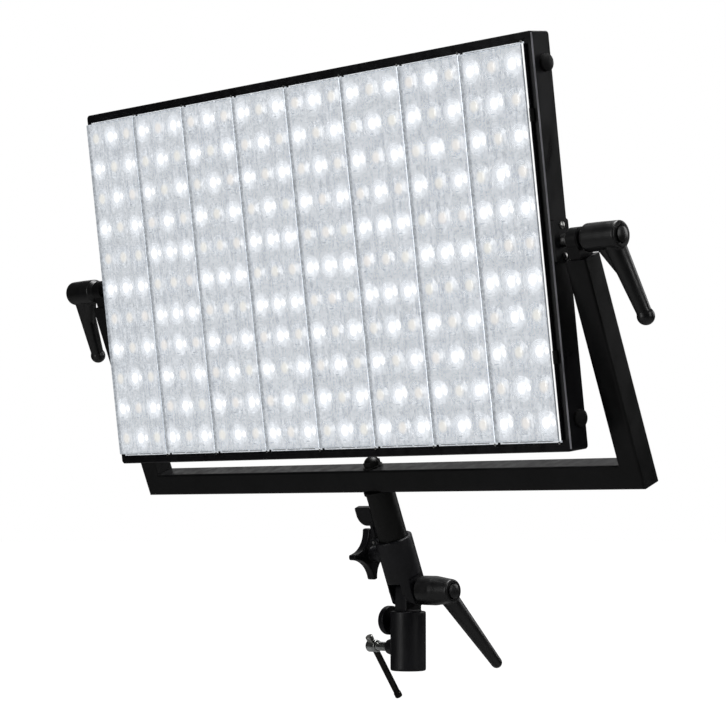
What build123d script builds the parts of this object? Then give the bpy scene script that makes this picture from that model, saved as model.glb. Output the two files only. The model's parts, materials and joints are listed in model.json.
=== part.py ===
from build123d import *
import os
from math import cos, radians, sin

# Lengths in millimetres, angles in degrees.
# X runs along the panel's width, -Y is the way the light shines, Z is up.
# The origin is the centre of the stand receiver's mouth.

# ---- lens face and housing ----
STRIP_COUNT = 8
STRIP_PITCH = 83.0
STRIP_GAP = 0.5
LENS_H = 382.0
LENS_FACE_Y = -22.8
LENS_PROUD = 8.0
LENS_TRAY_DEPTH = 27.4
LENS_WALL = 1.6
LENS_FACE_T = 3.0
SIDE_LIP = 7.2
END_LIP = 11.5
FRAME_DEPTH = 25.5
SHEET = 2.0
CORNER_R = 4.0
EDGE_CHAMFER = 1.2
LIP_STEP = 1.0
LIP_STEP_H = 5.0

# ---- light engines ----
LED_COLUMNS = 3
LED_ROWS = 11
LED_COLUMN_PITCH = 27.2
LED_ROW_PITCH = 34.6
LED_SIZE = 3.5
LED_T = 0.8
BOARD_T = 1.6
BOARD_MARGIN = 1.5

# ---- yoke ----
YOKE_LEAN = 22.2
PANEL_LEAN = 8.0
TUBE = 25.4
TUBE_WALL = 2.0
TUBE_R = 2.5
ARM_X = 359.5
BAR_TO_PIVOT = 240.0
JOINT_TO_BAR = 131.6
ARM_TOP_GAP = 20.0
EYE_R = 11.5
EYE_T = 12.0
STUD_R = 5.0
RUN_GAP = 0.06
FACE_GAP = 0.2

# ---- stand bracket ----
RECEIVER_R = 19.5
RECEIVER_H = 65.0
BORE_R = 8.1
BORE_DEPTH = 60.0
JOINT_Z = 88.0
TONGUE_HALF = 8.8
TONGUE_R = 12.0
SOCKET_R = 20.6
SOCKET_RIM = 62.0
SOCKET_FLOOR = 20.0
EAR_SLOT_HALF = 9.0
EAR_HALF = 17.0
EAR_R = 17.0
SLOT_TOP = 14.0
SPIGOT_R = 16.0

# ---- knobs, levers and screws ----
LEVER_HUB_R = 14.0
LEVER_HUB_L = 46.0
LEVER_DROP = 81.5
LEVER_OUT = 17.0
LEVER_BALL_R = 8.8
LEVER_ROOT = 13.0
LEVER_ROOT_R = 10.8
LEVER_NECK_R = 7.2
LEVER_CROTCH = 11.0
LEVER_CROTCH_R = 8.4
HUB_NECK_L = 6.0
HUB_END_R = 2.0
HUB_NECK_DROP = 6.0
HUB_BLIND = 8.5
RIGHT_LEVER_SWING = 22.0
LEFT_LEVER_SWING = 29.0
TILT_HUB_R = 16.0
TILT_HUB_L = 50.0
TILT_LEVER_DROP = 105.0
TILT_LEVER_OUT = 14.0
TILT_HUB_END_R = 12.6
TILT_LEVER_ROOT = 14.0
TILT_LEVER_ROOT_R = 10.3
TILT_LEVER_TIP_R = 6.2
TILT_LEVER_SWING = 41.0
BUTTON_R = 7.7
BUTTON_L = 7.0
BUTTON_PROUD = 3.0
BUTTON_CROWN = 1.5
BUTTON_GAP = 0.4
STAR_R = 28.5
STAR_T = 11.0
STAR_D = 42.0
STAR_X = -43.0
STAR_COLLAR_R = 8.0
STAR_HOLLOW_R = 26.0
STAR_WAIST = 15.0
STAR_TURN = -14.0
T_SCREW_Z = 25.0
T_BAR_X = -53.0
T_BAR_R = 3.6
T_BAR_L = 78.0
T_BAR_SHORT = 10.5
T_BAR_SWING = 35.0
LOCK_Z = 54.0
LOCK_R = 16.0
LOCK_X = -31.5
LOCK_T = 8.0

# ---- rear of the panel ----
REAR_FACE = 40.0
BOX_HALF_W = 80.0
BOX_HALF_H = 150.0
FIN_PITCH = 12.0
FIN_T = 1.8
FIN_TIP_Y = 24.0
SINK_INNER_X = 88.0
SINK_OUTER_X = 300.0
SINK_HALF_H = 165.0
SINK_BASE_T = 3.0
KNOB_X = 36.0
KNOB_Z = 95.0
KNOB_R = 12.0
KNOB_H = 14.0
SWITCH_Z = -45.0
INLET_Z = -95.0

# ---- small fixings ----
LENS_SCREW_R = 1.0
LENS_SCREW_HEAD_R = 1.4
LENS_SCREW_HEAD_H = 0.9
LENS_SCREW_L = 2.5
LENS_SCREW_INSET = 7.0
CLIP_T = 1.6
CLIP_BELOW = 2.2
CLIP_H = 13.0
CLIP_UP = 0.32
CLIP_DOWN = -0.29
BUMPER_R = 8.6
BUMPER_STRAIGHT = 3.2
BUMPER_CROWN = 3.0
BUMPER_Z = 171.5
PLATE_T = 3.0
PLATE_H = 42.0
PLATE_CORNER_R = 3.0
PLATE_SCREW_R = 2.0
PLATE_SCREW_HEAD_R = 3.5
PLATE_SCREW_Y = 0.0
PLATE_SCREW_Z = (15.0, -15.0)
SPACER_R = 6.5
WASHER_R = 11.0
WASHER_T = 1.5
SCREW_HEAD_STRAIGHT = 0.6
SCREW_HEAD_CROWN = 1.2
BOX_SCREW_R = 1.6
BOX_SCREW_HEAD_R = 3.2
SINK_SCREW_R = 3.0
SINK_SCREW_H = 2.0
SINK_SCREW_FINS = (1.5, 8.5, 15.5)
SINK_SCREW_Z = (-150.0, 0.0, 150.0)

# ---- power supply and controls ----
BOARD_LIFT = 6.0
DRIVER_BOARD_HALF_W = 56.0
DRIVER_BOARD_LOW_Z = -105.0
DRIVER_BOARD_TOP_Z = 120.0
STANDOFF_R = 3.0
STANDOFF_INSET = 6.0
KNOB_SHAFT_R = 3.0
KNOB_SHAFT_L = 9.0
KNOB_FLUTES = 12
KNOB_FLUTE_R = 1.8
SWITCH_W = 14.0
SWITCH_H = 22.0
SWITCH_GAP = 0.4
SWITCH_REST = 7.0
INLET_W = 28.0
INLET_H = 20.0
INLET_WALL = 2.0
INLET_DEEP = 16.0
INLET_PIN_L = 8.0

# ---- spigot, castings and their fixings ----
SPIGOT_BOLT_R = 5.0
SPIGOT_BOLT_DEPTH = 35.0
SPIGOT_FOOT_D = 22.0
COLLAR_R = 17.6
COLLAR_T = 3.0
CROSS_BOLT_R = 5.0
CROSS_BOLT_HEAD_R = 8.0
BOSS_R = 9.5
BOSS_END_X = -29.0
BOSS_ROOT_X = -15.0
LOCK_STEM_R = 4.0
STAR_BOSS_R = 9.0
STAR_BOSS_X = -28.0
STAR_SCREW_R = 4.0
CATCH_X = -25.0
CATCH_D = 58.5
CATCH_PIN_R = 1.5
T_HEAD_R = 6.8
T_SCREW_R = 5.0

# ---- worked out from the above ----
LENS_HALF_W = STRIP_COUNT * STRIP_PITCH / 2
LENS_HALF_H = LENS_H / 2
FRAME_HALF_W = LENS_HALF_W + SIDE_LIP
FRAME_HALF_H = LENS_HALF_H + END_LIP
FRAME_FRONT_Y = LENS_FACE_Y + LENS_PROUD
FRAME_REAR_Y = FRAME_FRONT_Y + FRAME_DEPTH
BACK_PLATE_Y = FRAME_REAR_Y - SHEET
BOARD_Y = BACK_PLATE_Y - SHEET
PIVOT_D = JOINT_TO_BAR + BAR_TO_PIVOT
HALF_TUBE = TUBE / 2
PLATE_FACE_X = FRAME_HALF_W + PLATE_T
EYE_IN_X = ARM_X - EYE_T / 2
EYE_OUT_X = ARM_X + EYE_T / 2
WASHER_OUT_X = EYE_OUT_X + WASHER_T
HUB_X = WASHER_OUT_X + FACE_GAP
TILT_HUB_X = EAR_HALF + 0.7
BAR_TOP_D = JOINT_TO_BAR + HALF_TUBE
BAR_BOTTOM_D = JOINT_TO_BAR - HALF_TUBE

LENS_SCREW_Z = LENS_HALF_H + 2.6
BUMPER_Y = FRAME_REAR_Y - BUMPER_R - 0.2
PLATE_FRONT_Y = FRAME_FRONT_Y + 1.5
PLATE_REAR_Y = FRAME_REAR_Y - 1.0
BOX_SCREW_X = BOX_HALF_W - 9
BOX_SCREW_Z = BOX_HALF_H - 9
SWITCH_PIVOT_Y = REAR_FACE - 2.0

YOKE_FRAME = Location((0, 0, JOINT_Z), (YOKE_LEAN, 0, 0))
PIVOT_Y = -PIVOT_D * sin(radians(YOKE_LEAN))
PIVOT_Z = JOINT_Z + PIVOT_D * cos(radians(YOKE_LEAN))
PANEL_FRAME = Location((0, PIVOT_Y, PIVOT_Z), (PANEL_LEAN, 0, 0))
T_FRAME = Location((0, 0, T_SCREW_Z), (T_BAR_SWING, 0, 0))

MIN_Z = (Align.CENTER, Align.CENTER, Align.MIN)


# ---- shapes that several pieces share ----
def block(x0, x1, y0, y1, z0, z1):
    """A box between two opposite corners."""
    return Pos((x0 + x1) / 2, (y0 + y1) / 2, (z0 + z1) / 2) * Box(x1 - x0, y1 - y0, z1 - z0)


def rod_x(radius, x0, x1, y=0.0, z=0.0):
    """A cylinder along X."""
    return Pos((x0 + x1) / 2, y, z) * Rot(0, 90, 0) * Cylinder(radius, x1 - x0)


def rod_y(radius, y0, y1, x=0.0, z=0.0):
    """A cylinder along Y."""
    return Pos(x, (y0 + y1) / 2, z) * Rot(90, 0, 0) * Cylinder(radius, y1 - y0)


def rod_z(radius, z0, z1, x=0.0, y=0.0):
    """A cylinder along Z."""
    return Pos(x, y, (z0 + z1) / 2) * Cylinder(radius, z1 - z0)


def tapered_rod(start, end, start_r, end_r):
    """A round bar whose radius changes evenly from start to end."""
    run = Vector(*end) - Vector(*start)
    return Plane(origin=start, z_dir=run) * Cone(start_r, end_r, run.length, align=MIN_Z)


def dome_button(radius, straight, crown):
    """A disc along +Z with a crowned top."""
    height = straight + crown
    ball_r = (radius**2 + crown**2) / (2 * crown)
    return Cylinder(radius, height, align=MIN_Z) & Pos(0, 0, height - ball_r) * Sphere(ball_r)


def screw_head(radius):
    """A low round screw head along +Z."""
    return dome_button(radius, SCREW_HEAD_STRAIGHT, SCREW_HEAD_CROWN)


def mirror_x(shape):
    """The same piece on the other side of the panel."""
    return mirror(shape, about=Plane.YZ)


def strip_x(index):
    """The centre of one lens strip, counted from the left."""
    return (index - (STRIP_COUNT - 1) / 2) * STRIP_PITCH


# ---- panel housing, in the panel's own frame with the pivot axis as its X axis ----
def frame_blank():
    """The housing's outer block with round corners and a chamfered front edge."""
    outline = Plane.XZ * RectangleRounded(2 * FRAME_HALF_W, 2 * FRAME_HALF_H, CORNER_R)
    blank = Pos(0, FRAME_REAR_Y, 0) * extrude(outline, FRAME_DEPTH)
    return chamfer(blank.faces().sort_by(Axis.Y)[0].edges(), EDGE_CHAMFER)


def mitred(blank, corners):
    """The part of the blank between four corners given as (x, z)."""
    prism = extrude(Plane.XZ * make_face(Polyline(*corners, close=True)), FRAME_DEPTH + 2, both=True)
    return blank & prism


def frame_side(blank):
    """The right-hand channel, open towards the lenses, with the pivot plate's screw holes."""
    bar = mitred(
        blank,
        [
            (LENS_HALF_W, LENS_HALF_H),
            (FRAME_HALF_W, FRAME_HALF_H),
            (FRAME_HALF_W, -FRAME_HALF_H),
            (LENS_HALF_W, -LENS_HALF_H),
        ],
    )
    bar -= block(
        LENS_HALF_W - 1,
        FRAME_HALF_W - SHEET,
        FRAME_FRONT_Y + SHEET,
        FRAME_REAR_Y - SHEET,
        -FRAME_HALF_H,
        FRAME_HALF_H,
    )
    for z in PLATE_SCREW_Z:
        bar -= rod_x(PLATE_SCREW_R, FRAME_HALF_W - 4, FRAME_HALF_W + 1, PLATE_SCREW_Y, z)
    return bar


def frame_end(blank):
    """The top channel: its front lip has a shallow step that takes the lens screws."""
    bar = mitred(
        blank,
        [
            (-LENS_HALF_W, LENS_HALF_H),
            (-FRAME_HALF_W, FRAME_HALF_H),
            (FRAME_HALF_W, FRAME_HALF_H),
            (LENS_HALF_W, LENS_HALF_H),
        ],
    )
    bar -= block(
        -FRAME_HALF_W,
        FRAME_HALF_W,
        FRAME_FRONT_Y + SHEET,
        FRAME_REAR_Y - SHEET,
        LENS_HALF_H - 1,
        FRAME_HALF_H - SHEET,
    )
    bar -= block(
        -LENS_HALF_W,
        LENS_HALF_W,
        FRAME_FRONT_Y - 1,
        FRAME_FRONT_Y + LIP_STEP,
        LENS_HALF_H - 1,
        LENS_HALF_H + LIP_STEP_H,
    )
    for index in range(STRIP_COUNT):
        bar -= rod_y(LENS_SCREW_R, FRAME_FRONT_Y, FRAME_FRONT_Y + 4, lens_screw_x(index), LENS_SCREW_Z)
    return bar


def lens_screw_x(index):
    """Each lens screw sits near its strip's right-hand corner."""
    return strip_x(index) + STRIP_PITCH / 2 - LENS_SCREW_INSET


def lens_screws():
    """One small screw at each end of each lens strip."""
    screws = []
    seat = FRAME_FRONT_Y + LIP_STEP
    for index in range(STRIP_COUNT):
        x = lens_screw_x(index)
        for z in (LENS_SCREW_Z, -LENS_SCREW_Z):
            head = rod_y(LENS_SCREW_HEAD_R, seat - LENS_SCREW_HEAD_H, seat, x, z)
            screws.append(head + rod_y(LENS_SCREW_R, seat, seat + LENS_SCREW_L, x, z))
    return screws


def back_plate():
    """The sheet that closes the housing and carries the boards and heat sinks."""
    half_w = FRAME_HALF_W - SHEET - FACE_GAP
    half_h = FRAME_HALF_H - SHEET - FACE_GAP
    return block(-half_w, half_w, BOARD_Y, BACK_PLATE_Y, -half_h, half_h)


def lens_plate(index):
    """A clear tray: its face shapes the light, and its walls stand on the board's border."""
    x = strip_x(index)
    half_w = (STRIP_PITCH - STRIP_GAP) / 2
    half_h = LENS_HALF_H - FACE_GAP
    back = LENS_FACE_Y + LENS_TRAY_DEPTH
    tray = block(x - half_w, x + half_w, LENS_FACE_Y, back, -half_h, half_h)
    return tray - block(
        x - half_w + LENS_WALL,
        x + half_w - LENS_WALL,
        LENS_FACE_Y + LENS_FACE_T,
        back + 1,
        -half_h + LENS_WALL,
        half_h - LENS_WALL,
    )


def led_boards():
    """Eight metal-core boards, one behind each lens strip."""
    half_w = STRIP_PITCH / 2 - BOARD_MARGIN
    half_h = LENS_HALF_H - BOARD_MARGIN
    boards = []
    for index in range(STRIP_COUNT):
        x = strip_x(index)
        boards.append(block(x - half_w, x + half_w, BOARD_Y - BOARD_T, BOARD_Y, -half_h, half_h))
    return boards


def is_cool(strip, row, column):
    """Cool and warm emitters alternate, apart from the three full rows across each strip's middle."""
    from_end = min(row, LED_ROWS - 1 - row)
    if from_end >= LED_ROWS // 2 - 1:
        cool = from_end == LED_ROWS // 2
    else:
        cool = (column == LED_COLUMNS // 2) == (from_end % 2 == 0)
    return cool == (strip % 2 == 0)


def led_chips(cool):
    """Every emitter of one colour, as small square chips on the boards."""
    face = BOARD_Y - BOARD_T
    half = LED_SIZE / 2
    chips = []
    for strip in range(STRIP_COUNT):
        for row in range(LED_ROWS):
            for column in range(LED_COLUMNS):
                if is_cool(strip, row, column) != cool:
                    continue
                x = strip_x(strip) + (column - (LED_COLUMNS - 1) / 2) * LED_COLUMN_PITCH
                z = ((LED_ROWS - 1) / 2 - row) * LED_ROW_PITCH
                chips.append(block(x - half, x + half, face - LED_T, face, z - half, z + half))
    return chips


def lens_clips():
    """Small black clips on the side lips that hold the outer lens strips in."""
    clips = []
    for z in (CLIP_UP * LENS_H, CLIP_DOWN * LENS_H):
        clip = block(
            LENS_HALF_W + 0.1,
            LENS_HALF_W + 0.1 + CLIP_T,
            FRAME_FRONT_Y - LENS_PROUD + CLIP_BELOW,
            FRAME_FRONT_Y,
            z - CLIP_H / 2,
            z + CLIP_H / 2,
        )
        clips += [clip, mirror_x(clip)]
    return clips


def side_bumpers():
    """Rubber domes near the corners of both sides, which the panel is put down on."""
    bumpers = []
    for z in (BUMPER_Z, -BUMPER_Z):
        dome = dome_button(BUMPER_R, BUMPER_STRAIGHT, BUMPER_CROWN)
        bumper = Pos(FRAME_HALF_W, BUMPER_Y, z) * Rot(0, 90, 0) * dome
        bumpers += [bumper, mirror_x(bumper)]
    return bumpers


# ---- pivots on the panel's sides ----


def pivot_plate():
    """The right-hand plate that spreads the pivot's load over the frame."""
    plate = block(FRAME_HALF_W, PLATE_FACE_X, PLATE_FRONT_Y, PLATE_REAR_Y, -PLATE_H / 2, PLATE_H / 2)
    plate = fillet(plate.edges().filter_by(Axis.X), PLATE_CORNER_R)
    plate -= rod_x(STUD_R, FRAME_HALF_W - 1, PLATE_FACE_X + 1)
    for z in PLATE_SCREW_Z:
        plate -= rod_x(PLATE_SCREW_R, FRAME_HALF_W - 1, PLATE_FACE_X + 1, PLATE_SCREW_Y, z)
    return plate


def pivot_plate_screws():
    """Two screws that hold the right-hand pivot plate."""
    screws = []
    for z in PLATE_SCREW_Z:
        shank = rod_x(PLATE_SCREW_R, FRAME_HALF_W - SHEET, PLATE_FACE_X, PLATE_SCREW_Y, z)
        head = Rot(0, 90, 0) * screw_head(PLATE_SCREW_HEAD_R)
        screws.append(shank + Pos(PLATE_FACE_X, PLATE_SCREW_Y, z) * head)
    return screws


def pivot_stud():
    """The right-hand stud, fixed in the pivot plate, that the yoke's eye turns on."""
    return rod_x(STUD_R, FRAME_HALF_W, HUB_X + LEVER_HUB_L - 10)


def pivot_spacer():
    """The bush that keeps the panel clear of the yoke."""
    return rod_x(SPACER_R, PLATE_FACE_X, EYE_IN_X - 0.1) - rod_x(STUD_R, PLATE_FACE_X - 1, EYE_IN_X)


# ---- rear of the panel ----
def heat_sink():
    """The right-hand extrusion with upright fins."""
    base_y = BACK_PLATE_Y + SINK_BASE_T
    sink = block(SINK_INNER_X, SINK_OUTER_X, BACK_PLATE_Y, base_y, -SINK_HALF_H, SINK_HALF_H)
    fins = int((SINK_OUTER_X - SINK_INNER_X - FIN_T) / FIN_PITCH) + 1
    for index in range(fins):
        x = SINK_INNER_X + index * FIN_PITCH
        sink += block(x, x + FIN_T, base_y, FIN_TIP_Y, -SINK_HALF_H, SINK_HALF_H)
    return sink


def rear_window(half_w, half_h, z):
    """A cutter for a window in the cover's rear face."""
    return block(-half_w, half_w, REAR_FACE - 5, REAR_FACE + 1, z - half_h, z + half_h)


def driver_box():
    """The cover over the power supply, with the controls on its rear face."""
    outline = Plane.XZ * RectangleRounded(2 * BOX_HALF_W, 2 * BOX_HALF_H, 6)
    box = Pos(0, REAR_FACE, 0) * extrude(outline, REAR_FACE - BACK_PLATE_Y)
    box = fillet(box.faces().sort_by(Axis.Y)[-1].edges(), 3)
    box -= block(
        SHEET - BOX_HALF_W,
        BOX_HALF_W - SHEET,
        BACK_PLATE_Y - 1,
        REAR_FACE - SHEET,
        SHEET - BOX_HALF_H,
        BOX_HALF_H - SHEET,
    )
    for x in (-KNOB_X, KNOB_X):
        box -= rod_y(KNOB_SHAFT_R + RUN_GAP, REAR_FACE - 5, REAR_FACE + 1, x, KNOB_Z)
    for x in (-BOX_SCREW_X, BOX_SCREW_X):
        for z in (-BOX_SCREW_Z, BOX_SCREW_Z):
            box -= rod_y(BOX_SCREW_R, REAR_FACE - 5, REAR_FACE + 1, x, z)
    box -= rear_window(INLET_W / 2, INLET_H / 2, INLET_Z)
    return box - rear_window(SWITCH_W / 2 + SWITCH_GAP, SWITCH_H / 2 + SWITCH_GAP, SWITCH_Z)


def driver_box_screws():
    """Four screws through the cover's corners into posts on the back plate."""
    screws = []
    for x in (-BOX_SCREW_X, BOX_SCREW_X):
        for z in (-BOX_SCREW_Z, BOX_SCREW_Z):
            head = Pos(x, REAR_FACE, z) * Rot(-90, 0, 0) * screw_head(BOX_SCREW_HEAD_R)
            screws.append(head + rod_y(BOX_SCREW_R, BACK_PLATE_Y, REAR_FACE, x, z))
    return screws


def driver_board():
    """The power supply's circuit board."""
    y = BACK_PLATE_Y + BOARD_LIFT
    half_w = DRIVER_BOARD_HALF_W
    return block(-half_w, half_w, y, y + BOARD_T, DRIVER_BOARD_LOW_Z, DRIVER_BOARD_TOP_Z)


def board_standoffs():
    """Four posts between the back plate and the circuit board."""
    posts = []
    post_x = DRIVER_BOARD_HALF_W - STANDOFF_INSET
    for x in (-post_x, post_x):
        for z in (DRIVER_BOARD_LOW_Z + STANDOFF_INSET, -DRIVER_BOARD_LOW_Z - STANDOFF_INSET):
            posts.append(rod_y(STANDOFF_R, BACK_PLATE_Y, BACK_PLATE_Y + BOARD_LIFT, x, z))
    return posts


def driver_parts():
    """The larger components on the circuit board."""
    y = BACK_PLATE_Y + BOARD_LIFT + BOARD_T
    parts = [
        block(-20, 14, y, y + 18, 12, 46),
        block(-46, -30, y, y + 20, -40, 30),
        block(26, 40, y, y + 12, -80, -50),
    ]
    for z in (-60, -38, -16):
        parts.append(rod_y(8.5, y, y + 17, 8, z))
    for z in (0, 20, 40):
        parts.append(block(32, 44, y, y + 10, z, z + 14))
    return parts


def rear_knob(x):
    """A control knob with a grip of shallow flutes and its shaft."""
    knob = Cylinder(KNOB_R, KNOB_H, align=MIN_Z)
    knob = fillet(knob.faces().sort_by(Axis.Z)[-1].edges(), 1.5)
    flute = Pos(KNOB_R + 1.0, 0, 0) * Cylinder(KNOB_FLUTE_R, KNOB_H - 2.5, align=MIN_Z)
    for index in range(KNOB_FLUTES):
        knob -= Rot(0, 0, index * 360 / KNOB_FLUTES) * flute
    knob += Pos(0, 0, -KNOB_SHAFT_L) * Cylinder(KNOB_SHAFT_R, KNOB_SHAFT_L, align=MIN_Z)
    return Pos(x, REAR_FACE + 0.5, KNOB_Z) * Rot(-90, 0, 0) * knob


def power_switch():
    """A rocker, shown pressed to its on side, that tips about a pin inside the cover."""
    tilt = Pos(0, SWITCH_PIVOT_Y, SWITCH_Z) * Rot(SWITCH_REST, 0, 0)
    half_w = SWITCH_W / 2
    half_h = SWITCH_H / 2 - 1.2
    outline = [(-1.5, -half_h), (4.2, -half_h), (2.4, 0), (4.2, half_h), (-1.5, half_h)]
    side = Plane.YZ * make_face(Polyline(*outline, close=True))
    return tilt * extrude(side, half_w, both=True)


def power_inlet():
    """A recessed mains inlet with three flat pins."""
    y0 = REAR_FACE - INLET_DEEP - 2
    shell = block(-INLET_W / 2, INLET_W / 2, y0, REAR_FACE, INLET_Z - INLET_H / 2, INLET_Z + INLET_H / 2)
    flange = block(-18, 18, REAR_FACE, REAR_FACE + 2, INLET_Z - 13, INLET_Z + 13)
    shell += fillet(flange.edges().filter_by(Axis.Y), 3)
    half_w = INLET_W / 2 - INLET_WALL
    half_h = INLET_H / 2 - INLET_WALL
    floor_y = REAR_FACE - INLET_DEEP
    shell -= block(-half_w, half_w, floor_y, REAR_FACE + 3, INLET_Z - half_h, INLET_Z + half_h)
    for x, z in ((-7, -2), (0, 2), (7, -2)):
        shell += block(x - 1, x + 1, floor_y - 0.5, floor_y + INLET_PIN_L, INLET_Z + z - 2, INLET_Z + z + 2)
    return shell


def sink_screws():
    """Screws between the fins that hold each heat sink to the back plate."""
    screws = []
    seat = BACK_PLATE_Y + SINK_BASE_T
    for fin in SINK_SCREW_FINS:
        x = SINK_INNER_X + fin * FIN_PITCH + FIN_T / 2
        for z in SINK_SCREW_Z:
            screw = rod_y(SINK_SCREW_R, seat, seat + SINK_SCREW_H, x, z)
            screws += [screw, mirror_x(screw)]
    return screws


# ---- yoke, in its own frame: tilt joint at the origin, Z up the spigot ----
def tube_blank(length):
    """Square tube along Z, centred."""
    outer = RectangleRounded(TUBE, TUBE, TUBE_R)
    inner = RectangleRounded(TUBE - 2 * TUBE_WALL, TUBE - 2 * TUBE_WALL, TUBE_R - 1.5)
    return extrude(outer - inner, length / 2, both=True)


def mitre_cutter(side, above):
    """Everything on one side of the 45 degree plane through a bottom corner of the yoke."""
    turn = 45 * side
    reach = 60 if above else -60
    return Pos(side * ARM_X, 0, JOINT_TO_BAR) * Rot(0, turn, 0) * Pos(0, 0, reach) * Box(160, 60, 120)


def yoke_bar():
    """The bottom tube, drilled for the spigot's bolt."""
    bar = Pos(0, 0, JOINT_TO_BAR) * Rot(0, 90, 0) * tube_blank(2 * (ARM_X + HALF_TUBE))
    for side in (-1, 1):
        bar -= mitre_cutter(side, True)
    return bar - rod_z(SPIGOT_BOLT_R + 0.5, BAR_BOTTOM_D - 1, BAR_TOP_D + 1)


def yoke_arm(side):
    """An upright tube, mitred onto the bottom tube."""
    bottom = BAR_BOTTOM_D
    top = PIVOT_D - ARM_TOP_GAP
    arm = Pos(side * ARM_X, 0, (bottom + top) / 2) * tube_blank(top - bottom)
    return arm - mitre_cutter(side, False)


def yoke_lug(side):
    """The plug welded into an arm's top, with the eye that the pivot stud turns in."""
    cap_z = PIVOT_D - ARM_TOP_GAP
    eye = rod_x(EYE_R, -EYE_T / 2, EYE_T / 2, 0, PIVOT_D)
    neck = block(-EYE_T / 2, EYE_T / 2, -10, 10, cap_z - 20, PIVOT_D)
    cap = Pos(0, 0, cap_z) * extrude(RectangleRounded(TUBE, TUBE, TUBE_R), 2)
    lug = eye + neck + cap
    lug -= rod_x(STUD_R + RUN_GAP, -EYE_T, EYE_T, 0, PIVOT_D)
    return Pos(side * ARM_X, 0, 0) * lug


def pivot_washers():
    """The washer between each eye and its clamping lever."""
    washer = rod_x(WASHER_R, EYE_OUT_X, WASHER_OUT_X, 0, PIVOT_D)
    washer -= rod_x(STUD_R + 0.3, EYE_OUT_X - 1, WASHER_OUT_X + 1, 0, PIVOT_D)
    return [washer, mirror_x(washer)]


def spigot():
    """The round stub under the bar, with a collar and a groove for the safety catch."""
    stub = rod_z(SPIGOT_R, SPIGOT_FOOT_D, BAR_BOTTOM_D)
    stub = chamfer(stub.faces().sort_by(Axis.Z)[0].edges(), 1.5)
    stub += rod_z(COLLAR_R, BAR_BOTTOM_D - COLLAR_T, BAR_BOTTOM_D)
    stub -= rod_z(SPIGOT_R + 1, STAR_D - 5, STAR_D + 5) - rod_z(SPIGOT_R - 1.5, STAR_D - 6, STAR_D + 6)
    return stub - rod_z(SPIGOT_BOLT_R, BAR_BOTTOM_D - SPIGOT_BOLT_DEPTH - 1, BAR_BOTTOM_D + 1)


def spigot_bolt():
    """The bolt that ties the spigot to the bar."""
    return rod_z(SPIGOT_BOLT_R, BAR_BOTTOM_D - SPIGOT_BOLT_DEPTH, BAR_TOP_D + 9)


def dome_nut():
    """The cap nut on top of the bar, with its round flange."""
    flange = rod_z(10.8, BAR_TOP_D, BAR_TOP_D + 2)
    hexagon = Pos(0, 0, BAR_TOP_D + 2) * extrude(RegularPolygon(9.6, 6), 5)
    crown = Pos(0, 0, BAR_TOP_D + 7) * dome_button(8.2, 0.5, 4.5)
    return flange + hexagon + crown - rod_z(SPIGOT_BOLT_R, BAR_TOP_D - 1, BAR_TOP_D + 9)


# ---- clamping levers on the pivots ----
def hub(radius, length, shoulder, end_r):
    """A lever's hub along +X from the origin: a coned neck, a barrel and a narrower rounded end."""
    barrel = Pos(HUB_NECK_L, 0, 0) * rod_x(radius, 0, shoulder - HUB_NECK_L)
    end = Pos(shoulder, 0, 0) * Rot(0, 90, 0) * Cone(radius, end_r, length - shoulder, align=MIN_Z)
    shape = fillet((barrel + end).faces().sort_by(Axis.X)[-1].edges(), HUB_END_R)
    return shape + Rot(0, 90, 0) * Cone(radius - HUB_NECK_DROP, radius, HUB_NECK_L, align=MIN_Z)


def hub_bore(length):
    """The cutter for a hub's bore and the recess for its button."""
    bore = rod_x(STUD_R + RUN_GAP, -1, length - HUB_BLIND)
    return bore + rod_x(BUTTON_R + BUTTON_GAP, length - BUTTON_L, length + 1)


def pivot_lever(swing):
    """The right-hand lever: a hub on the stud, a tapered arm and a ball end."""
    body = hub(LEVER_HUB_R, LEVER_HUB_L, LEVER_HUB_L / 2, LEVER_HUB_R - 0.4)
    root = (LEVER_HUB_L - LEVER_ROOT, 0, 0)
    ball = (LEVER_HUB_L - LEVER_ROOT + LEVER_OUT, 0, -LEVER_DROP)
    body += tapered_rod(root, ball, LEVER_ROOT_R, LEVER_NECK_R)
    crotch = (LEVER_HUB_L - LEVER_ROOT - LEVER_CROTCH, 0, -LEVER_HUB_R / 2)
    middle = (LEVER_HUB_L - LEVER_ROOT + LEVER_OUT / 2, 0, -LEVER_DROP / 2)
    body += tapered_rod(crotch, middle, LEVER_CROTCH_R, LEVER_NECK_R)
    body += Pos(*ball) * Sphere(LEVER_BALL_R)
    body -= hub_bore(LEVER_HUB_L)
    return Pos(HUB_X, 0, PIVOT_D) * Rot(swing, 0, 0) * body


def hub_button(x, z):
    """The push button in a lever hub's outer end."""
    button = Rot(0, 90, 0) * dome_button(BUTTON_R, BUTTON_L - BUTTON_CROWN, BUTTON_CROWN)
    return Pos(x + BUTTON_PROUD, 0, z) * button


# ---- stand bracket ----


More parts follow.
